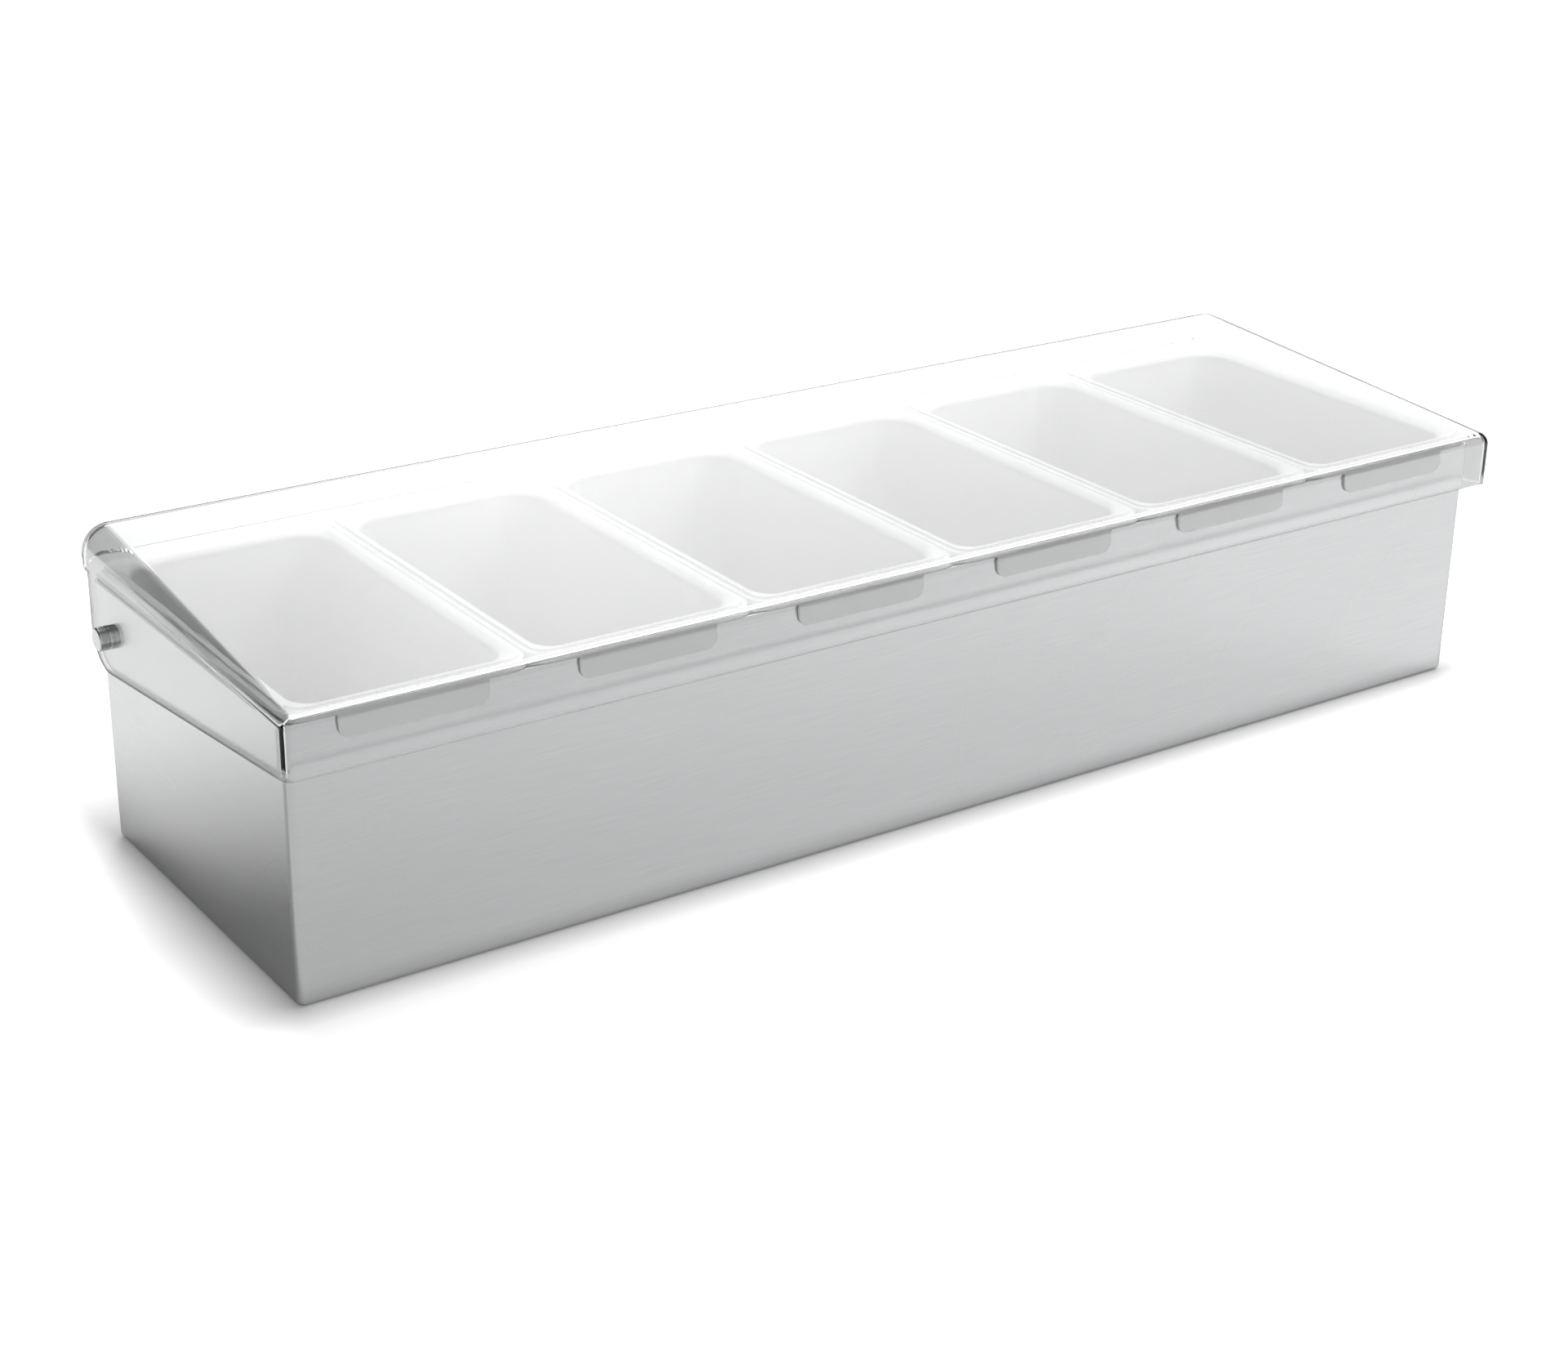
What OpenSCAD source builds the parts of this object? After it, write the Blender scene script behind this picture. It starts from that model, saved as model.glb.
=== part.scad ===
// Condiment holder: a folded steel box, six lift-out trays and a clear hinged lid.
// The origin is the middle of the base's underside. +X runs along the length, +Y to the hinge side.

/* [Base] */
// Length of the steel base, side to side
base_w = 490; // [420:1:560]
// Depth of the steel base, front to back
base_d = 141; // [125:1:170]
// Height of the steel base
base_h = 93; // [82:1:120]
// Thickness of the steel sheet
sheet_t = 1; // [0.8:0.1:1.5]
// Outside radius of the upright corners
corner_r = 3; // [2:0.5:6]
// Outside radius of the bends round the underside
bend_r = 2; // [1.8:0.1:4]

/* [Trays] */
// Depth of a tray below the top edge of the base
tray_depth = 65; // [45:1:75]
// Wall thickness of a tray
tray_wall = 2; // [1.5:0.1:2.6]
// Draft of the tray walls in degrees
tray_draft = 2; // [1:0.5:4]
// Outside radius of the upright corners of a tray
tray_corner_r = 13; // [9:0.5:18]
// Outside radius round the foot of a tray
tray_foot_r = 8; // [5:0.5:10]
// Gap between the rims of neighbouring trays
tray_gap = 0.5; // [0.3:0.1:1.2]
// Clearance between the tray walls and the front and back of the base
tray_fit = 0.8; // [0.5:0.1:2]
// Thickness of the rim that lies on the base
rim_t = 2; // [1.6:0.1:2.6]
// How far the rim stands out past the tray wall at the sides
rim_side = 4; // [2:0.5:5]
// How far the rim reaches past the back of the base, as a finger grip
rim_grip = 5.3; // [3:0.1:6]
// Outside radius of the rim corners
rim_corner_r = 8; // [5:0.5:12]
// Width of the low outer edge of the rim, outside the raised part round the mouth
rim_step = 1.75; // [1:0.05:2.4]
// Height of the raised part above the outer edge of the rim
bead_h = 0.8; // [0.4:0.1:1.2]
// Width of the lip that hangs over the front of the base
lip_w = 50; // [30:1:60]
// How far the front lip hangs below the top edge of the base
lip_drop = 7.5; // [5:0.5:10]
// Thickness of the front lip
lip_t = 0.9; // [0.8:0.1:1]
// Gap between the front lip and the base
lip_gap = 0.2; // [0.1:0.05:0.3]
// Radius of the lower corners of the front lip
lip_r = 4; // [2:0.5:5]

/* [Lid] */
// Wall thickness of the lid
lid_t = 2.2; // [1.8:0.1:3]
// Slope of the top of the lid in degrees
lid_slope = 4.6; // [4:0.1:8]
// Gap between the lid and each end of the base, with the lid in the middle
lid_end_gap = 2; // [1.8:0.1:4.5]
// How far the lid is pushed along its studs
lid_shift = 1.4; // [0:0.1:1.5]
// Gap between the front skirt and the front lips of the trays
lid_front_gap = 4.1; // [2.5:0.1:6]
// Gap between the back skirt and the finger grips of the trays
lid_rear_gap = 4.7; // [2:0.1:6]
// Gap between the top of the lid and the front of the tray rims
lid_rest_gap = 0.3; // [0.3:0.1:1]
// How far the front skirt hangs below the top edge of the base
front_drop = 15; // [12:0.5:17.5]
// How far the back skirt stays above the top edge of the base
rear_rise = 2.3; // [0:0.1:3]
// Radius of the front edges and corners
lid_front_r = 4.5; // [3.5:0.5:5.5]
// Radius of the rear edges and corners
lid_rear_r = 10; // [6:0.5:14]
// Bevel along the lower edges of the front and back skirts
lid_bevel = 0.8; // [0.4:0.1:1.2]

/* [Hinge] */
// Distance of the hinge axis in front of the back of the base
hinge_back = 12; // [9:0.5:16]
// Distance of the hinge axis below the top edge of the base
hinge_drop = 16.5; // [15:0.5:20]
// Radius of the ear round each stud
ear_r = 12.5; // [9:0.5:14]
// Radius of the studs
stud_r = 4; // [3:0.1:5]
// Running clearance round the studs
stud_clear = 0.08; // [0.03:0.01:0.1]
// How far the studs stand out past the lid, with the lid in the middle
stud_proud = 2.1; // [1.8:0.1:4]
// Bevel round the outer end of a stud
stud_bevel = 0.6; // [0.3:0.1:1]
// Radius of the stud's shank in the steel
shank_r = 3; // [2:0.1:3]
// Clearance of the shank in the steel
shank_clear = 0.05; // [0:0.01:0.1]
// Radius of the stud's riveted head inside the base
head_r = 5; // [4:0.1:6]
// Thickness of the riveted head
head_t = 1.2; // [0.8:0.1:1.8]

/* [Hidden] */
$fn = 64;
// Facets of the drafted tray walls and of the lid's rounded corners
shell_fn = 32;
// Overrun of every cut
over = 5;

tray_count = 6;
front_y = -base_d / 2;
back_y = base_d / 2;
end_x = base_w / 2;

// Trays: the rims share the inside length of the base between them
tray_pitch = (base_w - 2 * sheet_t) / tray_count;
rim_w = tray_pitch - tray_gap;
rim_front = front_y - lip_gap - lip_t;
rim_back = back_y + rim_grip;
rim_top = base_h + rim_t;
bead_top = rim_top + bead_h;
cup_w = rim_w - 2 * rim_side;
cup_front = front_y + sheet_t + tray_fit;
cup_back = back_y - sheet_t - tray_fit;
cup_floor = base_h - tray_depth;
cup_inset = tray_depth * tan(tray_draft);
bead_r = rim_corner_r - rim_step;

// Hinge axis, and the reach of the studs from the ends of the base
hinge_y = back_y - hinge_back;
hinge_z = base_h - hinge_drop;
stud_reach = lid_end_gap + lid_t + stud_proud;

// Lid: outer faces, and the line of its top
lid_w = base_w + 2 * (lid_end_gap + lid_t);
lid_front = rim_front - lid_front_gap - lid_t;
lid_back = rim_back + lid_rear_gap + lid_t;
lid_rest = bead_top + lid_rest_gap;
function lid_top(y) = lid_rest + (y - rim_front) * tan(lid_slope) + lid_t / cos(lid_slope);
front_hem = base_h - front_drop;
rear_hem = base_h + rear_rise;
// The side skirt's lower edge starts behind the front bevel and touches the round of the ear
hem_front = lid_front + lid_bevel;
ear_far = norm([hinge_y - hem_front, hinge_z - front_hem]);
hem_angle = atan2(hinge_z - front_hem, hinge_y - hem_front) - asin(ear_r / ear_far);
ear_back = hinge_y + ear_r;
ear_foot = front_hem + (ear_back - hem_front) * tan(hem_angle);

// Round of radius r in corner b of an outline, between its neighbours a and c
function unit(v) = v / norm(v);
function half_angle(a, b, c) = acos(unit(a - b) * unit(c - b)) / 2;
function round_middle(a, b, c, r) = b + unit(unit(a - b) + unit(c - b)) * r / sin(half_angle(a, b, c));
function round_end(a, b, c, r) = b + unit(a - b) * r / tan(half_angle(a, b, c));

// Outline with a true arc in each corner that has a radius
module rounded(points, radii) {
    n = len(points);
    before = [for (i = [0 : n - 1]) points[(i + n - 1) % n]];
    after = [for (i = [0 : n - 1]) points[(i + 1) % n]];
    polygon([for (i = [0 : n - 1]) each radii[i] > 0
        ? [round_end(before[i], points[i], after[i], radii[i]),
            round_end(after[i], points[i], before[i], radii[i])]
        : [points[i]]]);
    for (i = [0 : n - 1]) if (radii[i] > 0)
        translate(round_middle(before[i], points[i], after[i], radii[i])) circle(radii[i]);
}

// Plan outline centred on x, from y0 to y1, with radii at the front and at the back
module plan(w, y0, y1, r0, r1) {
    rounded([[-w / 2, y0], [w / 2, y0], [w / 2, y1], [-w / 2, y1]], [r0, r0, r1, r1]);
}

// Prism along X of a y-z outline
module along_x(w) {
    translate([-w / 2, 0, 0]) rotate([90, 0, 90]) linear_extrude(w) children();
}

// Prism along Y of an x-z outline, from y = 0
module along_y(d) {
    translate([0, d, 0]) rotate([90, 0, 0]) linear_extrude(d) children();
}

// Block with upright corners of radius r and a round of radius foot under its sides
module folded_block(w, d, h, r, foot) {
    intersection() {
        linear_extrude(h) plan(w, -d / 2, d / 2, r, r);
        translate([0, -d / 2, 0]) along_y(d)
            rounded([[-w / 2, 0], [w / 2, 0], [w / 2, h], [-w / 2, h]], [foot, foot, 0, 0]);
        along_x(w) rounded([[-d / 2, 0], [d / 2, 0], [d / 2, h], [-d / 2, h]], [foot, foot, 0, 0]);
    }
}

module base_box() {
    color([0.77, 0.78, 0.79]) difference() {
        folded_block(base_w, base_d, base_h, corner_r, bend_r);
        translate([0, 0, sheet_t]) folded_block(base_w - 2 * sheet_t, base_d - 2 * sheet_t, base_h,
            corner_r - sheet_t, bend_r - sheet_t);
        translate([-end_x - over, hinge_y, hinge_z]) rotate([0, 90, 0])
            cylinder(h = base_w + 2 * over, r = shank_r + shank_clear);
    }
}

// Riveted stud, drawn along +Z from the outer face of the steel
module hinge_stud() {
    color([0.66, 0.66, 0.68]) union() {
        cylinder(h = stud_reach - stud_bevel, r = stud_r);
        translate([0, 0, stud_reach - stud_bevel])
            cylinder(h = stud_bevel, r1 = stud_r, r2 = stud_r - stud_bevel);
        translate([0, 0, -sheet_t]) cylinder(h = sheet_t + stud_bevel, r = shank_r);
        translate([0, 0, -sheet_t - head_t]) cylinder(h = head_t, r = head_r);
    }
}

module left_hinge_stud() {
    translate([-end_x, hinge_y, hinge_z]) rotate([0, -90, 0]) hinge_stud();
}

module right_hinge_stud() {
    translate([end_x, hinge_y, hinge_z]) rotate([0, 90, 0]) hinge_stud();
}

// Drafted cup with a rounded foot; inset is the wall that is taken off all round
module cup(inset, top, rise) {
    w = cup_w - 2 * inset;
    foot = tray_foot_r - inset;
    foot_x = cup_w / 2 - cup_inset - tray_foot_r;
    foot_y = [cup_front + cup_inset + tray_foot_r, cup_back - cup_inset - tray_foot_r];
    r = tray_corner_r - inset;
    hull() {
        translate([0, 0, top]) linear_extrude(rise)
            plan(w, cup_front + inset, cup_back - inset, r, r, $fn = shell_fn);
        for (x = [-foot_x, foot_x], y = foot_y)
            translate([x, y, cup_floor + tray_foot_r]) sphere(foot, $fn = shell_fn);
    }
}

// Tray number i, counted from the left
module condiment_tray(i) {
    color([0.93, 0.93, 0.92]) translate([(i - (tray_count + 1) / 2) * tray_pitch, 0, 0]) difference() {
        union() {
            translate([0, 0, base_h]) linear_extrude(rim_t)
                plan(rim_w, rim_front, rim_back, rim_corner_r, rim_corner_r);
            translate([0, 0, base_h]) linear_extrude(rim_t + bead_h)
                plan(rim_w - 2 * rim_step, rim_front + rim_step, rim_back - rim_step, bead_r, bead_r);
            translate([0, rim_front, 0]) along_y(lip_t) rounded(
                [[-lip_w / 2, base_h - lip_drop], [lip_w / 2, base_h - lip_drop],
                [lip_w / 2, base_h + rim_t / 2], [-lip_w / 2, base_h + rim_t / 2]], [lip_r, lip_r, 0, 0]);
            cup(0, base_h, rim_t / 2);
        }
        cup(tray_wall, rim_top, over);
    }
}

// Cap with four upright rounded corners under the sloping top; inset as in the cup
module lid_cap(inset) {
    corners = [[lid_front + lid_front_r, lid_front_r], [lid_back - lid_rear_r, lid_rear_r]];
    hull() for (side = [-1, 1], corner = corners) {
        y = corner[0];
        r = corner[1];
        z = lid_top(y) - r / cos(lid_slope);
        translate([side * (lid_w / 2 - r), y, 0]) {
            cylinder(h = z, r = r - inset, $fn = shell_fn);
            translate([0, 0, z]) sphere(r - inset, $fn = shell_fn);
        }
    }
}

// What the lower edges of the lid keep of the cap, seen from the side: both skirts and the ear
module hem_profile() {
    y0 = lid_front - over;
    y1 = lid_back + over;
    top = lid_top(lid_back) + over;
    rounded([[y0, front_hem + lid_bevel + over], [hem_front, front_hem], [ear_back, ear_foot],
        [ear_back, rear_hem], [lid_back - lid_bevel, rear_hem], [y1, rear_hem + lid_bevel + over],
        [y1, top], [y0, top]], [0, 0, ear_r, 0, 0, 0, 0, 0]);
}

module clear_lid() {
    color([0.86, 0.92, 0.95, 0.4]) translate([lid_shift, 0, 0]) difference() {
        intersection() {
            lid_cap(0);
            along_x(lid_w + 2 * over) hem_profile();
        }
        lid_cap(lid_t);
        translate([-lid_w / 2 - over, hinge_y, hinge_z]) rotate([0, 90, 0])
            cylinder(h = lid_w + 2 * over, r = stud_r + stud_clear);
    }
}

base_box();
left_hinge_stud();
right_hinge_stud();
condiment_tray(1);  // condiment_tray_1
condiment_tray(2);  // condiment_tray_2
condiment_tray(3);  // condiment_tray_3
condiment_tray(4);  // condiment_tray_4
condiment_tray(5);  // condiment_tray_5
condiment_tray(6);  // condiment_tray_6
clear_lid();
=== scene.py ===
from math import asin, atan2, cos, radians, sin, tan

import bpy
from mathutils import Matrix, Vector


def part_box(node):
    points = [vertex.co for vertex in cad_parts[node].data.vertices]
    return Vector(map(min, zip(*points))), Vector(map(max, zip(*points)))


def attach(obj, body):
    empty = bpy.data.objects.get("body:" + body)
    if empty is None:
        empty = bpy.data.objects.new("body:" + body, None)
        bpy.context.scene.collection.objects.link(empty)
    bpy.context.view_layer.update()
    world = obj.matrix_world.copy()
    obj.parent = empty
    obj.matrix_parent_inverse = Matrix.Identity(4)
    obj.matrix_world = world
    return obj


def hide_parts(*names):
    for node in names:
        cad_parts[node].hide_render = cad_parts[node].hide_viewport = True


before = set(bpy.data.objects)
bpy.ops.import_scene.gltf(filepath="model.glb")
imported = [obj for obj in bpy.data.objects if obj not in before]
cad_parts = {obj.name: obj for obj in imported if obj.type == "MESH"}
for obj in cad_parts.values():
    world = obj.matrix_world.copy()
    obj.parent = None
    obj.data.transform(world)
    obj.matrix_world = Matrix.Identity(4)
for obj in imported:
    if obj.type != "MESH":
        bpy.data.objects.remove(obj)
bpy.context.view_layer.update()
mm = 0.001
facing = 0.9  # a face looks along an axis when its normal's share of it is over this
smoothBelow = radians(35)
sharpFold = radians(60)


# selection and modelling helpers

def deselectAll():
    if bpy.context.object and bpy.context.object.mode != "OBJECT":
        bpy.ops.object.mode_set(mode="OBJECT")
    bpy.ops.object.select_all(action="DESELECT")


def makeActive(obj):
    deselectAll()
    obj.select_set(True)
    bpy.context.view_layer.objects.active = obj


def applyPlace():
    bpy.ops.object.transform_apply(location=True, rotation=True, scale=True)


def named(name):
    obj = bpy.context.object
    obj.name = obj.data.name = name
    return obj


def pick(obj, kind, keep):  # selects the vertices, edges or faces that keep() names, in edit mode
    makeActive(obj)
    bpy.ops.object.mode_set(mode="EDIT")
    bpy.ops.mesh.select_mode(type=kind)
    bpy.ops.mesh.select_all(action="DESELECT")
    bpy.ops.object.mode_set(mode="OBJECT")
    mesh = obj.data
    if kind == "EDGE":
        for edge in mesh.edges:
            edge.select = keep(*(mesh.vertices[i].co for i in edge.vertices))
    elif kind == "FACE":
        for face in mesh.polygons:
            face.select = keep(face)
    else:
        for vert in mesh.vertices:
            vert.select = keep(vert)
    bpy.ops.object.mode_set(mode="EDIT")


def leaveEdit():
    bpy.ops.object.mode_set(mode="OBJECT")


def near(a, b, slack=0.02 * mm):
    return abs(a - b) < slack


def cubeAt(name, low, high):
    deselectAll()
    middle = [(a + b) / 2 for a, b in zip(low, high)]
    bpy.ops.mesh.primitive_cube_add(size=1, location=middle)
    obj = named(name)
    obj.scale = [b - a for a, b in zip(low, high)]
    applyPlace()
    return obj


def rodAlongX(name, radius, ends, y, z, sides):
    deselectAll()
    first, last = ends
    bpy.ops.mesh.primitive_cylinder_add(vertices=sides, radius=radius, depth=abs(first - last),
                                        location=((first + last) / 2, y, z), rotation=(0, radians(90), 0))
    obj = named(name)
    applyPlace()
    return obj


def pull(x):  # extrudes what is selected along the length
    bpy.ops.mesh.extrude_region_move(TRANSFORM_OT_translate={"value": (x, 0, 0)})


def applyModifier(obj, kind, **settings):
    makeActive(obj)
    modifier = obj.modifiers.new(kind.title(), kind)
    for key, value in settings.items():
        setattr(modifier, key, value)
    bpy.ops.object.modifier_apply(modifier=modifier.name)


def roundFolds(obj, width, segments):
    applyModifier(obj, "BEVEL", width=width, segments=segments, limit_method="ANGLE", angle_limit=sharpFold)


def cutWith(obj, tool, operation):
    applyModifier(obj, "BOOLEAN", operation=operation, object=tool, solver="EXACT")
    bpy.data.objects.remove(tool, do_unlink=True)


def finishShading(obj):
    makeActive(obj)
    bpy.ops.object.shade_smooth_by_angle(angle=smoothBelow)
    applyModifier(obj, "WEIGHTED_NORMAL", keep_sharp=True, weight=100)


def outwardNormals(obj):
    pick(obj, "FACE", lambda face: True)
    bpy.ops.mesh.normals_make_consistent(inside=False)
    leaveEdit()


def place(obj, body, material, node):
    obj.data.materials.clear()
    obj.data.materials.append(material)
    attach(obj, body)
    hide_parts(node)


# node helpers

def newMaterial(name):
    material = bpy.data.materials.new(name)
    material.use_nodes = True
    tree = material.node_tree
    return material, tree, tree.nodes["Principled BSDF"]


def addNode(tree, kind, sockets=None, **settings):
    node = tree.nodes.new(kind)
    for key, value in settings.items():
        setattr(node, key, value)
    for key, value in (sockets or {}).items():
        node.inputs[key].default_value = value
    return node


def objectCoords(tree):
    return addNode(tree, "ShaderNodeTexCoord").outputs["Object"]


def splitAxes(tree, vector):
    axes = addNode(tree, "ShaderNodeSeparateXYZ")
    tree.links.new(vector, axes.inputs["Vector"])
    return axes.outputs


def objectNoise(tree, stretch, scale, detail, roughness=0.55):
    mapping = addNode(tree, "ShaderNodeMapping", {"Scale": stretch})
    noise = addNode(tree, "ShaderNodeTexNoise", {"Scale": scale, "Detail": detail, "Roughness": roughness})
    tree.links.new(objectCoords(tree), mapping.inputs["Vector"])
    tree.links.new(mapping.outputs["Vector"], noise.inputs["Vector"])
    return noise.outputs["Fac"]


def mapRange(tree, source, span, result):
    sockets = {"From Min": span[0], "From Max": span[1], "To Min": result[0], "To Max": result[1]}
    node = addNode(tree, "ShaderNodeMapRange", sockets)
    tree.links.new(source, node.inputs["Value"])
    return node.outputs["Result"]


def vectorMath(tree, operation, source, value=None):
    node = addNode(tree, "ShaderNodeVectorMath", operation=operation)
    tree.links.new(source, node.inputs[0])
    if value:
        node.inputs[1].default_value = value
    return node.outputs["Value" if operation in ("LENGTH", "DOT_PRODUCT") else "Vector"]


def combine(tree, operation, first, second):
    node = addNode(tree, "ShaderNodeMath", operation=operation)
    tree.links.new(first, node.inputs[0])
    tree.links.new(second, node.inputs[1])
    return node.outputs["Value"]


def colourRamp(tree, source, stops):
    node = addNode(tree, "ShaderNodeValToRGB")
    for element, (position, colour) in zip(node.color_ramp.elements, stops):
        element.position = position
        element.color = (*colour, 1)
    tree.links.new(source, node.inputs["Fac"])
    return node.outputs["Color"]


def bump(tree, source, strength, height, after=None):
    node = addNode(tree, "ShaderNodeBump", {"Strength": strength, "Distance": height})
    tree.links.new(source, node.inputs["Height"])
    if after:
        tree.links.new(after, node.inputs["Normal"])
    return node.outputs["Normal"]


# materials: a noise is given as stretch, scale, detail and roughness, and a bump as strength and height

satinValues = {
    "grain": ((18, 18, 900), 3.0, 6.0, 0.7),  # fine horizontal lines left by the belt
    "speck": ((1, 1, 1), 2600, 2.0),
    "cloud": ((1, 1, 1), 9, 3.0),
    "tones": [(0.3, (0.64, 0.645, 0.65)), (0.7, (0.70, 0.705, 0.71))],
    "cloudSpan": (0.35, 0.65),
    "roughness": (0.23, 0.28),
    "grainBump": (0.06, 0.05 * mm),
    "speckBump": (0.06, 0.03 * mm),
}


def satinSteel(values):
    material, tree, shader = newMaterial("satinSteel")
    grain = objectNoise(tree, *values["grain"])
    speck = objectNoise(tree, *values["speck"])
    cloud = objectNoise(tree, *values["cloud"])
    tree.links.new(colourRamp(tree, grain, values["tones"]), shader.inputs["Base Color"])
    rough = mapRange(tree, cloud, values["cloudSpan"], values["roughness"])
    tree.links.new(rough, shader.inputs["Roughness"])
    fine = bump(tree, grain, *values["grainBump"])
    tree.links.new(bump(tree, speck, *values["speckBump"], fine), shader.inputs["Normal"])
    shader.inputs["Metallic"].default_value = 1.0
    return material


turnedValues = {
    "wear": ((1, 1, 1), 900, 3.0),
    "tones": [(0.3, (0.60, 0.60, 0.61)), (0.7, (0.70, 0.70, 0.71))],
    "wearSpan": (0.3, 0.7),
    "roughness": (0.2, 0.3),
    "wearBump": (0.08, 0.04 * mm),
}


def turnedSteel(values):
    material, tree, shader = newMaterial("turnedSteel")
    wear = objectNoise(tree, *values["wear"])
    tree.links.new(colourRamp(tree, wear, values["tones"]), shader.inputs["Base Color"])
    rough = mapRange(tree, wear, values["wearSpan"], values["roughness"])
    tree.links.new(rough, shader.inputs["Roughness"])
    tree.links.new(bump(tree, wear, *values["wearBump"]), shader.inputs["Normal"])
    shader.inputs["Metallic"].default_value = 1.0
    return material


whiteValues = {
    "cloud": ((1, 1, 1), 22, 4.0),
    "pores": ((1, 1, 1), 1500, 2.0),
    "tones": [(0.3, (0.92, 0.92, 0.915)), (0.7, (0.95, 0.95, 0.946))],
    "cloudSpan": (0.3, 0.7),
    "roughness": (0.5, 0.6),
    "poreBump": (0.05, 0.04 * mm),
    "index": 1.49,
    "rimHeight": (90.5 * mm, 93.0 * mm),
    "through": (0.42, 0.66),  # the rim passes more light than the cup
    "tabHeight": (91.5 * mm, 93.0 * mm),
    "tabFront": (-70.6 * mm, -70.0 * mm),
    "tabDenser": 0.3,  # the tab is lit from both sides, so it passes less than the rim
}


def whitePlastic(values):
    material, tree, shader = newMaterial("whitePlastic")
    cloud = objectNoise(tree, *values["cloud"])
    pores = objectNoise(tree, *values["pores"])
    tree.links.new(colourRamp(tree, cloud, values["tones"]), shader.inputs["Base Color"])
    rough = mapRange(tree, cloud, values["cloudSpan"], values["roughness"])
    tree.links.new(rough, shader.inputs["Roughness"])
    tree.links.new(bump(tree, pores, *values["poreBump"]), shader.inputs["Normal"])
    axes = splitAxes(tree, objectCoords(tree))
    below = mapRange(tree, axes["Z"], values["tabHeight"], (1, 0))
    ahead = mapRange(tree, axes["Y"], values["tabFront"], (1, 0))
    tab = combine(tree, "MULTIPLY", below, ahead)
    rim = mapRange(tree, axes["Z"], values["rimHeight"], values["through"])
    through = combine(tree, "SUBTRACT", rim, mapRange(tree, tab, (0, 1), (0, values["tabDenser"])))
    tree.links.new(through, shader.inputs["Transmission Weight"])
    shader.inputs["IOR"].default_value = values["index"]
    return material


clearValues = {
    "tint": (0.985, 0.99, 0.99, 1),
    "shadowTint": (0.95, 0.96, 0.96, 1),
    "index": 1.49,
    "wave": ((1, 1, 1), 14, 1.0),
    "waveBump": (0.01, 0.2 * mm),
    "scuff": ((60, 9, 60), 5, 5.0, 0.75),
    "scuffSpan": (0.62, 0.78),
    "scuffRoughness": (0.012, 0.07),
    "hemSlope": (0, 0.1037, 1),
    "hemHeight": (71.0 * mm, 71.2 * mm),  # the sawn hem lies below this, measured across its slope
    "hemRoughness": 0.5,
    "paintedEdgeGlow": (0, 0.4),  # painted glow: the front edge emits light for rays past the bounces that are rendered, in place of light led on inside it
    "glowBounces": (2.5, 3.5),
    "glowHeight": (93.0 * mm, 94.5 * mm),
    "glowFront": (-58.0 * mm, -52.0 * mm),
}


def clearPlastic(values):
    material, tree, shader = newMaterial("clearPlastic")
    shader.inputs["Base Color"].default_value = values["tint"]
    shader.inputs["Transmission Weight"].default_value = 1.0
    shader.inputs["IOR"].default_value = values["index"]
    wave = objectNoise(tree, *values["wave"])
    scuff = objectNoise(tree, *values["scuff"])
    coords = objectCoords(tree)
    hemUp = vectorMath(tree, "DOT_PRODUCT", coords, values["hemSlope"])
    sawn = mapRange(tree, hemUp, values["hemHeight"], (values["hemRoughness"], 0))
    worn = mapRange(tree, scuff, values["scuffSpan"], values["scuffRoughness"])
    tree.links.new(combine(tree, "MAXIMUM", worn, sawn), shader.inputs["Roughness"])
    tree.links.new(bump(tree, wave, *values["waveBump"]), shader.inputs["Normal"])
    rays = addNode(tree, "ShaderNodeLightPath")
    axes = splitAxes(tree, coords)
    # painted glow: the lid's front edge emits white light from the third glossy bounce on
    glow = mapRange(tree, rays.outputs["Glossy Depth"], values["glowBounces"], values["paintedEdgeGlow"])
    glow = combine(tree, "MULTIPLY", glow, mapRange(tree, axes["Z"], values["glowHeight"], (0, 1)))
    glow = combine(tree, "MULTIPLY", glow, mapRange(tree, axes["Y"], values["glowFront"], (1, 0)))
    shader.inputs["Emission Color"].default_value = (1, 1, 1, 1)
    tree.links.new(glow, shader.inputs["Emission Strength"])
    clear = addNode(tree, "ShaderNodeBsdfTransparent", {"Color": values["shadowTint"]})
    mix = addNode(tree, "ShaderNodeMixShader")
    tree.links.new(rays.outputs["Is Shadow Ray"], mix.inputs["Fac"])
    tree.links.new(shader.outputs["BSDF"], mix.inputs[1])
    tree.links.new(clear.outputs["BSDF"], mix.inputs[2])
    tree.links.new(mix.outputs["Shader"], tree.nodes["Material Output"].inputs["Surface"])
    return material


steel = satinSteel(satinValues)
studSteel = turnedSteel(turnedValues)
trayPlastic = whitePlastic(whiteValues)
lidPlastic = clearPlastic(clearValues)
print("materials made")


# steel base

baseValues = {
    "sheet": 1.0 * mm,
    "cornerRadius": 3.0 * mm,
    "cornerSegments": 10,
    "bendRadius": 2.0 * mm,
    "bendSegments": 8,
    "lipRound": 0.25 * mm,
    "lipSegments": 3,
}


def makeBase(values):
    low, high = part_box("base_box")
    obj = cubeAt("steelBox", low, high)
    pick(obj, "FACE", lambda face: face.normal.z > facing)
    bpy.ops.mesh.delete(type="ONLY_FACE")
    pick(obj, "EDGE", lambda a, b: near(a.x, b.x) and near(a.y, b.y))  # the upright folds
    bpy.ops.mesh.bevel(offset=values["cornerRadius"], segments=values["cornerSegments"], affect="EDGES")
    pick(obj, "EDGE", lambda a, b: near(a.z, low[2]) and near(b.z, low[2]))  # bends round the underside
    bpy.ops.mesh.bevel(offset=values["bendRadius"], segments=values["bendSegments"], affect="EDGES")
    leaveEdit()
    outwardNormals(obj)
    applyModifier(obj, "SOLIDIFY", thickness=values["sheet"], offset=-1.0, use_even_offset=True)
    roundFolds(obj, values["lipRound"], values["lipSegments"])
    finishShading(obj)
    place(obj, "base", steel, "base_box")


makeBase(baseValues)
print("base made")


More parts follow.
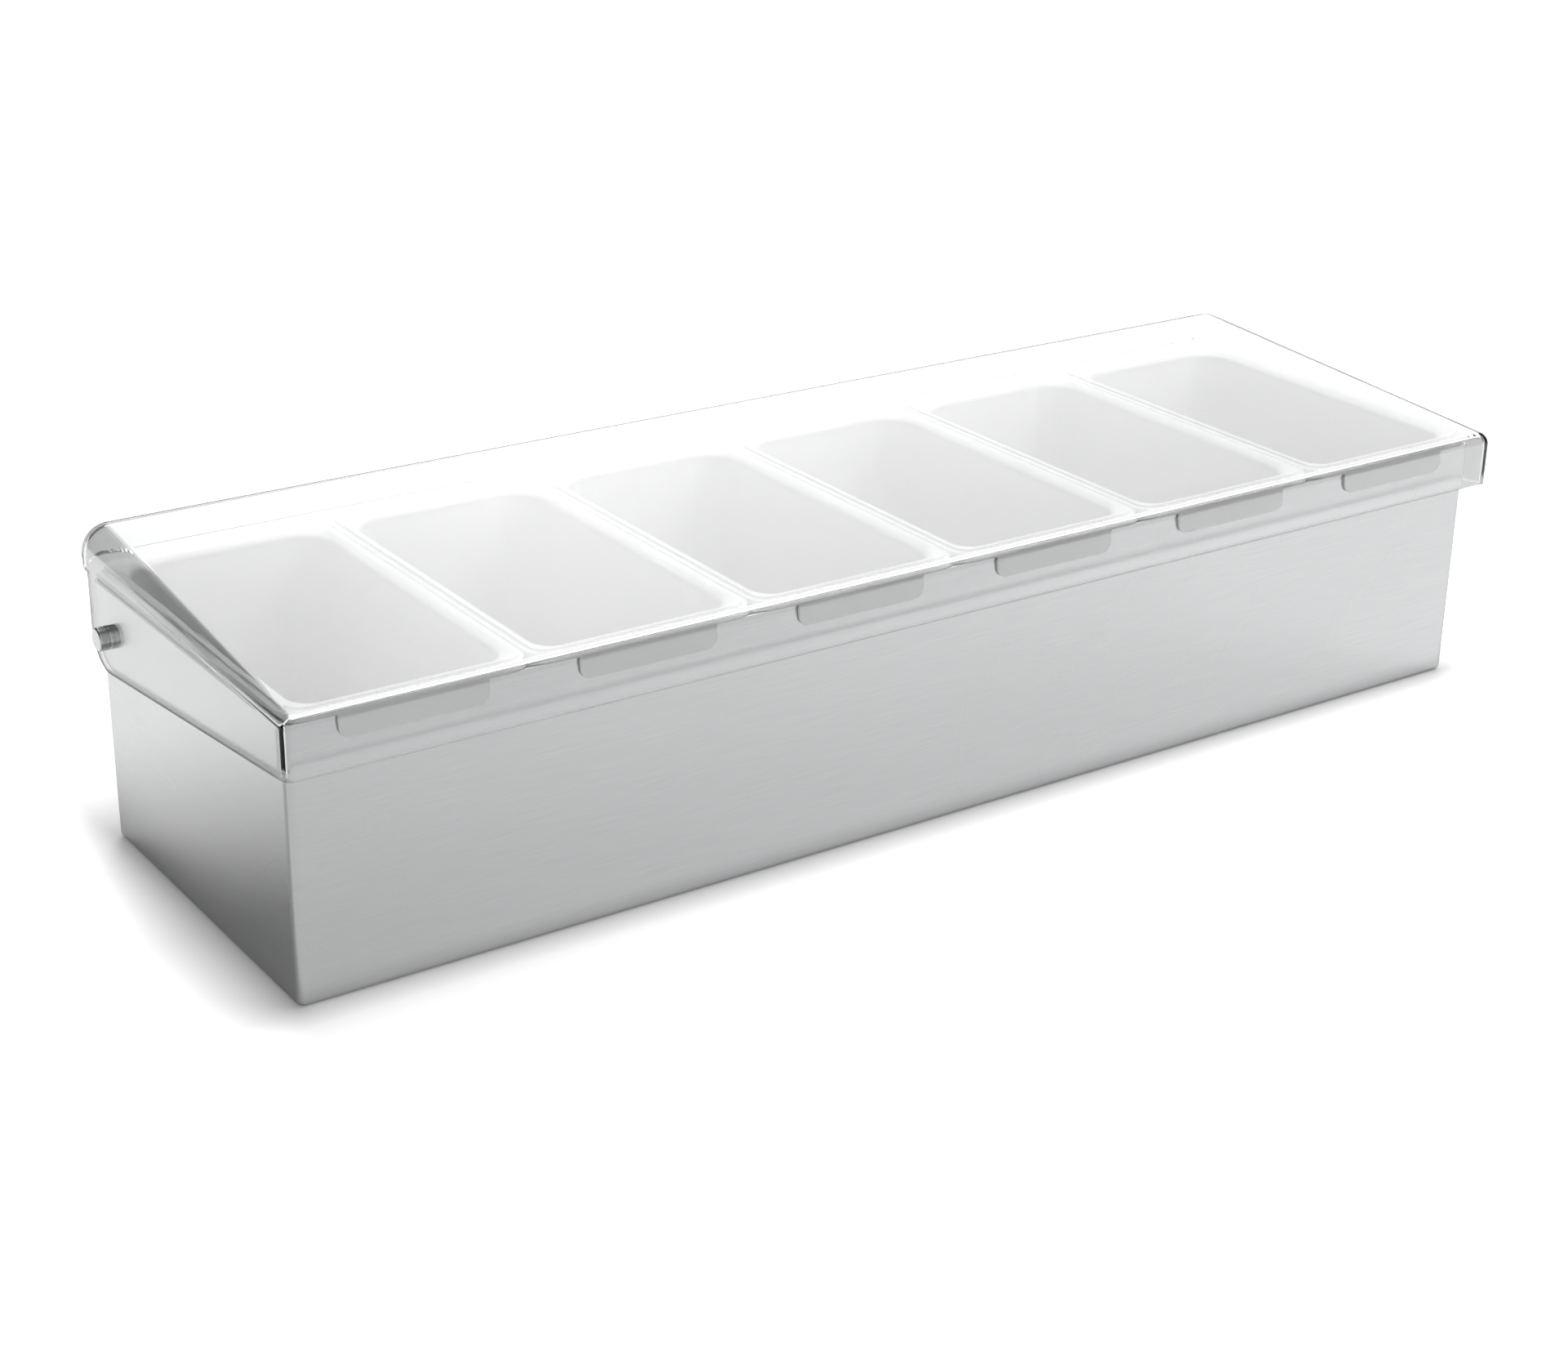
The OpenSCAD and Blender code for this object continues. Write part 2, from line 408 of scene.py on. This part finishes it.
# riveted studs

studValues = {
    "sides": 64,
    "radius": 4.0 * mm,
    "endRound": 0.7 * mm,
    "endSegments": 5,
    "faceInset": 1.9 * mm,
    "faceDip": 0.12 * mm,
    "shankRadius": 3.0 * mm,
    "headRadius": 5.0 * mm,
    "headThickness": 1.2 * mm,
    "headRound": 0.4 * mm,
    "headSegments": 4,
}


def makeStud(name, node, values):
    low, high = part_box(node)
    side = -1 if low[0] < 0 else 1
    outer, inner = (low[0], high[0]) if side < 0 else (high[0], low[0])
    y, z = (low[1] + high[1]) / 2, (low[2] + high[2]) / 2
    sheet = baseValues["sheet"]
    wall = inner + side * (values["headThickness"] + sheet)  # outer face of the steel
    obj = rodAlongX(name, values["radius"], (outer, wall), y, z, values["sides"])

    def isEnd(face, way):
        return face.normal.x * way > facing and len(face.vertices) == values["sides"]

    pick(obj, "EDGE", lambda a, b: near(a.x, outer) and near(b.x, outer))
    bpy.ops.mesh.bevel(offset=values["endRound"], segments=values["endSegments"], affect="EDGES")
    pick(obj, "FACE", lambda face: isEnd(face, side))  # turned face
    bpy.ops.mesh.inset(thickness=values["faceInset"])
    bpy.ops.transform.translate(value=(-side * values["faceDip"], 0, 0))
    pick(obj, "FACE", lambda face: isEnd(face, -side))  # shank and riveted head
    bpy.ops.mesh.inset(thickness=values["radius"] - values["shankRadius"])
    pull(-side * sheet)
    pull(0)
    grow = values["headRadius"] / values["shankRadius"]
    bpy.ops.transform.resize(value=(1, grow, grow), center_override=(wall - side * sheet, y, z))
    pull(-side * values["headThickness"])
    pick(obj, "EDGE", lambda a, b: near(a.x, inner) and near(b.x, inner))
    bpy.ops.mesh.bevel(offset=values["headRound"], segments=values["headSegments"], affect="EDGES")
    leaveEdit()
    outwardNormals(obj)
    finishShading(obj)
    place(obj, "base", studSteel, node)


# trays

trayValues = {
    "count": 6,
    "cornerSteps": 10,
    "rimCorner": 8.0 * mm,
    "rimTop": 95.0 * mm,
    "rimDepth": 2.0 * mm,
    "rimSide": 4.0 * mm,
    "rimUnderRound": 0.3 * mm,
    "rimEdgeRound": 0.4 * mm,
    "rimStep": 1.75 * mm,
    "stepRound": 0.2 * mm,
    "stepLean": 0.1 * mm,
    "softCorner": 0.12 * mm,  # how far the middle of a small round stands inside its corner
    "ridgeWidth": 1.0 * mm,
    "ridgeHeight": 0.8 * mm,
    "ridgeRound": 0.35 * mm,
    "ridgeSoft": 0.3,  # the same for the ridge, as a share of its radius
    "flareDepth": 3.5 * mm,
    "flareSteps": 8,
    "wall": 2.0 * mm,
    "cupFront": -68.7 * mm,
    "cupBack": 68.7 * mm,
    "cupCorner": 13.0 * mm,
    "floor": 28.0 * mm,
    "foot": 8.0 * mm,
    "footSteps": 6,
    "draft": radians(2),
    "tabWidth": 50.0 * mm,
    "tabDrop": 7.5 * mm,
    "tabThickness": 0.9 * mm,
    "tabCorner": 4.0 * mm,
    "tabCornerSegments": 10,
    "tabEdge": 0.2 * mm,
    "tabEdgeSegments": 2,
    "tabRoot": 0.6 * mm,
}


def ringPoints(halfWidth, front, back, radius, z, steps):  # a rectangle with round corners, from above
    points = []
    for turn, (x, y) in enumerate(((1, front), (1, back), (-1, back), (-1, front))):
        middleX = x * (halfWidth - radius)
        middleY = y + radius if y == front else y - radius
        for k in range(steps + 1):
            angle = radians(90) * (turn - 1 + k / steps)
            points.append(Vector((middleX + radius * cos(angle), middleY + radius * sin(angle), z)))
    return points


def stackRings(name, rings, steps):  # one loop is pulled from ring to ring, then both ends are closed
    count = 4 * (steps + 1)
    deselectAll()
    bpy.ops.mesh.primitive_circle_add(vertices=count, radius=1, fill_type="NOTHING")
    obj = named(name)
    pick(obj, "VERT", lambda vert: True)
    for _ in rings[1:]:
        pull(0)
    leaveEdit()
    for k, ring in enumerate(rings):
        for vert, point in zip(obj.data.vertices[k * count:(k + 1) * count], ringPoints(*ring, steps)):
            vert.co = point
    for first in (0, count * (len(rings) - 1)):
        pick(obj, "VERT", lambda vert: first <= vert.index < first + count)
        bpy.ops.mesh.edge_face_add()
        leaveEdit()
    outwardNormals(obj)
    return obj


def trayRings(values, low, high):
    halfRim, front, back = (high[0] - low[0]) / 2, low[1], high[1]
    top, under = values["rimTop"], values["rimTop"] - values["rimDepth"]
    ridgeTop = top + values["ridgeHeight"]
    wall, steps = values["wall"], values["footSteps"]

    def rim(inset, z):
        return (halfRim - inset, front + inset, back - inset, values["rimCorner"] - inset, z)

    def cup(inset, z):
        half = halfRim - values["rimSide"] - inset
        return (half, values["cupFront"] + inset, values["cupBack"] - inset, values["cupCorner"] - inset, z)

    def foot(inset, k):  # ring k of the rounded foot, counted from the wall down to the floor
        angle = radians(90) * k / steps
        radius = values["foot"] - inset
        start = values["floor"] + inset + radius
        lean = (under - start) * tan(values["draft"])
        return cup(inset + lean + radius - radius * cos(angle), start - radius * sin(angle))

    rings = [foot(0, k) for k in range(steps, -1, -1)]  # outside, from the floor up
    rings.append(cup(0, under))
    underRound, edgeRound, soft = values["rimUnderRound"], values["rimEdgeRound"], values["softCorner"]
    rings += [rim(underRound, under), rim(0, under + underRound)]
    rings += [rim(0, top - edgeRound), rim(soft, top - soft), rim(edgeRound, top)]
    step, ridgeRound = values["rimStep"], values["ridgeRound"]
    ridge, ridgeSoft = step + values["stepLean"], ridgeRound * values["ridgeSoft"]
    rings += [rim(step - values["stepRound"], top), rim(step, top + soft), rim(ridge, ridgeTop - ridgeRound)]
    rings += [rim(ridge + ridgeSoft, ridgeTop - ridgeSoft), rim(ridge + ridgeRound, ridgeTop)]
    crest = rim(step + values["ridgeWidth"], ridgeTop)
    mouth = cup(wall, ridgeTop - values["flareDepth"])
    for k in range(values["flareSteps"] + 1):  # the mouth rounds over from the ridge into the wall
        angle = radians(90) * k / values["flareSteps"]
        ring = [a + (b - a) * sin(angle) for a, b in zip(crest, mouth)]
        rings.append((*ring[:4], ridgeTop - values["flareDepth"] * (1 - cos(angle))))
    rings += [foot(wall, k) for k in range(steps + 1)]
    return rings


def makeTrays(values):
    low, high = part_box("condiment_tray_1")
    first = stackRings("trayForm", trayRings(values, low, high), values["cornerSteps"])
    half = values["tabWidth"] / 2
    bottom = values["rimTop"] - values["rimDepth"] - values["tabDrop"]
    tabHigh = (half, low[1] + values["tabThickness"], values["rimTop"] - values["tabRoot"])
    tab = cubeAt("tab", (-half, low[1], bottom), tabHigh)
    pick(tab, "EDGE", lambda a, b: near(a.z, bottom) and near(b.z, bottom) and near(a.x, b.x))
    bpy.ops.mesh.bevel(offset=values["tabCorner"], segments=values["tabCornerSegments"], affect="EDGES")
    leaveEdit()
    roundFolds(tab, values["tabEdge"], values["tabEdgeSegments"])
    cutWith(first, tab, "UNION")
    for number in range(1, values["count"] + 1):
        node = "condiment_tray_%d" % number
        nodeLow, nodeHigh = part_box(node)
        tray = first.copy()
        tray.data = first.data.copy()
        tray.name = tray.data.name = "tray%d" % number
        bpy.context.collection.objects.link(tray)
        tray.data.transform(Matrix.Translation(((nodeLow[0] + nodeHigh[0]) / 2, 0, 0)))
        finishShading(tray)
        place(tray, "base", trayPlastic, node)
    bpy.data.objects.remove(first, do_unlink=True)


# clear lid

lidValues = {
    "wall": 2.2 * mm,
    "slope": radians(4.6),
    "frontRadius": 4.5 * mm,
    "rearRadius": 10.0 * mm,
    "frontHem": 78.0 * mm,
    "rearHem": 95.3 * mm,
    "hemBevel": 0.8 * mm,
    "earRadius": 12.5 * mm,
    "earSegments": 32,
    "boreRadius": 4.08 * mm,
    "boreSides": 64,
    "hingeY": 58.5 * mm,
    "hingeZ": 76.5 * mm,
    "cornerDetail": 64,
    "flatAngle": radians(0.3),  # flatter joints between the hull's faces are dissolved
    "capFoot": 20.0 * mm,     # the cap and its hollow reach down to here before the hem is cut
    "hollowFoot": 10.0 * mm,
    "over": 5.0 * mm,         # how far a cutting tool stands past the lid
    "sharpEdge": radians(55),
    "edgeRound": 0.25 * mm,
    "edgeSegments": 2,
}


def lidCap(name, values, low, high, inset, bottom):
    slope, detail = values["slope"], values["cornerDetail"]
    rear, fore = values["rearRadius"], values["frontRadius"]
    rearY, foreY = high[1] - rear, low[1] + fore
    rearZ = high[2] - rear
    foreZ = rearZ + rear / cos(slope) - (rearY - foreY) * tan(slope) - fore / cos(slope)
    parts = []
    for side in (-1, 1):
        for y, z, r in ((foreY, foreZ, fore), (rearY, rearZ, rear)):
            x = low[0] + r if side < 0 else high[0] - r
            deselectAll()
            bpy.ops.mesh.primitive_uv_sphere_add(segments=detail, ring_count=detail // 2,
                                                 radius=r - inset, location=(x, y, z))
            applyPlace()
            parts.append(bpy.context.object)
            deselectAll()
            bpy.ops.mesh.primitive_circle_add(vertices=detail, radius=r - inset,
                                              location=(x, y, bottom), fill_type="NOTHING")
            applyPlace()
            parts.append(bpy.context.object)
    deselectAll()
    for part in parts:
        part.select_set(True)
    bpy.context.view_layer.objects.active = parts[0]
    bpy.ops.object.join()
    obj = named(name)
    pick(obj, "VERT", lambda vert: True)
    bpy.ops.mesh.convex_hull(delete_unused=True, use_existing_faces=False, make_holes=False,
                             join_triangles=False)
    bpy.ops.mesh.select_all(action="SELECT")
    bpy.ops.mesh.dissolve_limited(angle_limit=values["flatAngle"])
    leaveEdit()
    outwardNormals(obj)
    return obj


def hemTool(values, low, high):  # keeps what lies over the lower edges of the skirts and the ear
    over, bevel, ear = values["over"], values["hemBevel"], values["earRadius"]
    front, back, top = low[1], high[1], high[2] + over
    foreHem, rearHem = values["frontHem"], values["rearHem"]
    start = front + bevel
    reach = Vector((values["hingeY"] - start, values["hingeZ"] - foreHem))
    angle = atan2(reach.y, reach.x) - asin(ear / reach.length)
    earBack = values["hingeY"] + ear
    earFoot = foreHem + (earBack - start) * tan(angle)
    corners = [(front - over, foreHem + bevel + over), (start, foreHem), (earBack, earFoot),
               (earBack, rearHem), (back - bevel, rearHem), (back + over, rearHem + bevel + over),
               (back + over, top), (front - over, top)]
    deselectAll()
    bpy.ops.mesh.primitive_circle_add(vertices=len(corners), radius=1, fill_type="NGON")
    obj = named("hemTool")
    x = low[0] - over
    for vert, (y, z) in zip(obj.data.vertices, corners):
        vert.co = (x, y, z)
    pick(obj, "VERT", lambda vert: near(vert.co.y, earBack) and near(vert.co.z, earFoot))
    half = (radians(90) + angle) / 2  # half the angle inside the ear's corner
    bpy.ops.mesh.bevel(offset=ear / tan(half), segments=values["earSegments"], affect="VERTICES")
    bpy.ops.mesh.select_all(action="SELECT")
    pull(high[0] - low[0] + 2 * over)
    leaveEdit()
    outwardNormals(obj)
    return obj


def makeLid(values):
    low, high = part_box("clear_lid")
    obj = lidCap("clearLid", values, low, high, 0, values["capFoot"])
    cutWith(obj, hemTool(values, low, high), "INTERSECT")
    hollow = lidCap("hollow", values, low, high, values["wall"], values["hollowFoot"])
    cutWith(obj, hollow, "DIFFERENCE")
    ends = (low[0] - values["over"], high[0] + values["over"])
    bore = rodAlongX("bore", values["boreRadius"], ends, values["hingeY"], values["hingeZ"],
                     values["boreSides"])
    cutWith(obj, bore, "DIFFERENCE")
    pick(obj, "EDGE", lambda a, b: False)  # nothing, so that only the sharp edges are taken
    bpy.ops.mesh.edges_select_sharp(sharpness=values["sharpEdge"])
    bpy.ops.mesh.bevel(offset=values["edgeRound"], segments=values["edgeSegments"], affect="EDGES",
                       clamp_overlap=True)
    leaveEdit()
    outwardNormals(obj)
    finishShading(obj)
    place(obj, "lid", lidPlastic, "clear_lid")


for number, node in ((1, "left_hinge_stud"), (2, "right_hinge_stud")):
    makeStud("hingeStud%d" % number, node, studValues)
print("studs made")
makeTrays(trayValues)
print("trays made")
makeLid(lidValues)
print("lid made")


# studio

floorValues = {
    "size": 14.0,
    "grey": 0.85,
    "roughness": 0.7,
    "footprint": (0.245, 0.0705, 0),  # half the box's length and depth
    "shadowShape": (1.3, 0.6, 1),     # the painted shadow on the paper, where its glow is less, is narrow at the ends and wide in front
    "shadowReach": (0.0, 0.035),
    "lensGlow": (0.14, 0.9),          # the paper's painted glow for the lens, at the box and away from it; less at the box, as a painted shadow
    "openY": (-0.0705, -0.0825),      # the paper's painted glow for all rays in front of the box, a painted pool of light
    "openGlow": (0.0, 0.45),
    "openX": (-0.2, 0.3),             # which is less at the left end
    "openShare": (0.55, 1.0),
    "leftX": (-0.247, -0.265),        # the same to the left of the box
    "leftGlow": (0.0, 0.6),
    "leftY": (-0.01, 0.15),
    "farReach": (0.15, 0.7),          # far off, where the lamps no longer reach
    "farGlow": (0.0, 0.05),
}


def makeFloor(values):
    deselectAll()
    bpy.ops.mesh.primitive_plane_add(size=values["size"], location=(0, 0, 0))
    floor = named("floor")
    material, tree, shader = newMaterial("paleFloor")
    grey = values["grey"]
    shader.inputs["Base Color"].default_value = (grey, grey, grey, 1)
    shader.inputs["Roughness"].default_value = values["roughness"]
    shader.inputs["Emission Color"].default_value = (1, 1, 1, 1)
    # painted light and shadow: the paper glows less near the box for the lens, so the lamps' cast shadow is
    # deepened by a painted one. It glows more in front of and to the left of the box for all rays, as
    # painted pools of light that the steel mirrors
    coords = objectCoords(tree)
    past = vectorMath(tree, "SUBTRACT", vectorMath(tree, "ABSOLUTE", coords), values["footprint"])
    past = vectorMath(tree, "MAXIMUM", past, (0, 0, 0))
    away = vectorMath(tree, "LENGTH", past)
    shadow = vectorMath(tree, "LENGTH", vectorMath(tree, "MULTIPLY", past, values["shadowShape"]))
    lens = mapRange(tree, shadow, values["shadowReach"], values["lensGlow"])
    axes = splitAxes(tree, coords)
    ahead = combine(tree, "MULTIPLY", mapRange(tree, axes["Y"], values["openY"], values["openGlow"]),
                    mapRange(tree, axes["X"], values["openX"], values["openShare"]))
    left = combine(tree, "MULTIPLY", mapRange(tree, axes["X"], values["leftX"], values["leftGlow"]),
                   mapRange(tree, axes["Y"], values["leftY"], (0, 1)))
    far = mapRange(tree, away, values["farReach"], values["farGlow"])
    rays = addNode(tree, "ShaderNodeLightPath")
    lens = combine(tree, "MULTIPLY", lens, rays.outputs["Is Camera Ray"])
    forAll = combine(tree, "ADD", combine(tree, "MAXIMUM", ahead, left), far)
    tree.links.new(combine(tree, "ADD", lens, forAll), shader.inputs["Emission Strength"])
    floor.data.materials.append(material)


worldValues = {
    "sideX": (-0.7, 0.3),
    "sideLight": (0.05, 0.2),   # from the studio's dark left wall and its right one
    "rearDirection": (0.54, 0.70, 0.45),
    "rearSpan": (0.88, 0.965),
    "rearWall": 2.62,           # the bright wall that the lid's top mirrors, which veils the trays
    "rearTrims": [((0.34, 0.45), (0.93, 1.13)), ((0.46, 0.68), (1.0, 0.62))],
    "frontDirection": (-0.3, -0.9, 0.3),
    "frontSpan": (0.5, 0.95),
    "frontWall": 0.5,           # for the lid's front edge
}


def makeWorld(values):
    world = bpy.data.worlds.new("studioWorld")
    bpy.context.scene.world = world
    world.use_nodes = True
    tree = world.node_tree
    background = tree.nodes["Background"]
    background.inputs["Color"].default_value = (1, 1, 1, 1)
    direction = addNode(tree, "ShaderNodeTexCoord").outputs["Generated"]
    x = splitAxes(tree, direction)["X"]
    side = mapRange(tree, x, values["sideX"], values["sideLight"])
    toRear = vectorMath(tree, "DOT_PRODUCT", direction, values["rearDirection"])
    rear = mapRange(tree, toRear, values["rearSpan"], (0, values["rearWall"]))
    for span, share in values["rearTrims"]:
        rear = combine(tree, "MULTIPLY", rear, mapRange(tree, x, span, share))
    toFront = vectorMath(tree, "DOT_PRODUCT", direction, values["frontDirection"])
    front = mapRange(tree, toFront, values["frontSpan"], (0, values["frontWall"]))
    rays = addNode(tree, "ShaderNodeLightPath")  # the lens sees a white wall past the floor
    walls = combine(tree, "ADD", combine(tree, "ADD", rear, front), rays.outputs["Is Camera Ray"])
    tree.links.new(combine(tree, "ADD", side, walls), background.inputs["Strength"])


panelValues = {
    "size": (0.9, 0.7),
    "panels": [("frontSoftbox", (0.65, -0.3, 1.1), (0.15, 0, 0), 4.5),  # position, target and power
               ("rearSoftbox", (-0.1, 0.45, 1.1), (0, 0, 0), 1.4)],
}


def makePanels(values):
    for name, position, target, power in values["panels"]:
        deselectAll()
        bpy.ops.object.light_add(type="AREA", location=position)
        lamp = bpy.context.object
        lamp.name = name
        lamp.data.shape = "RECTANGLE"
        lamp.data.size, lamp.data.size_y = values["size"]
        lamp.data.energy = power
        lamp.rotation_euler = (Vector(target) - Vector(position)).to_track_quat("-Z", "Y").to_euler()


cameraValues = {
    "location": (-0.54097, -0.74631, 0.41965),
    "turn": (66.9722, -0.8820, -34.5013),
    "sensor": 36,
    "lens": 63.525,
    "clipStart": 0.01,
}


def makeCamera(values):
    deselectAll()
    turn = [radians(angle) for angle in values["turn"]]
    bpy.ops.object.camera_add(location=values["location"], rotation=turn)
    camera = bpy.context.object
    camera.data.sensor_width = values["sensor"]
    camera.data.lens = values["lens"]
    camera.data.clip_start = values["clipStart"]
    bpy.context.scene.camera = camera


makeFloor(floorValues)
makeWorld(worldValues)
makePanels(panelValues)
makeCamera(cameraValues)
bpy.context.scene.view_settings.view_transform = "Standard"
print("studio made")
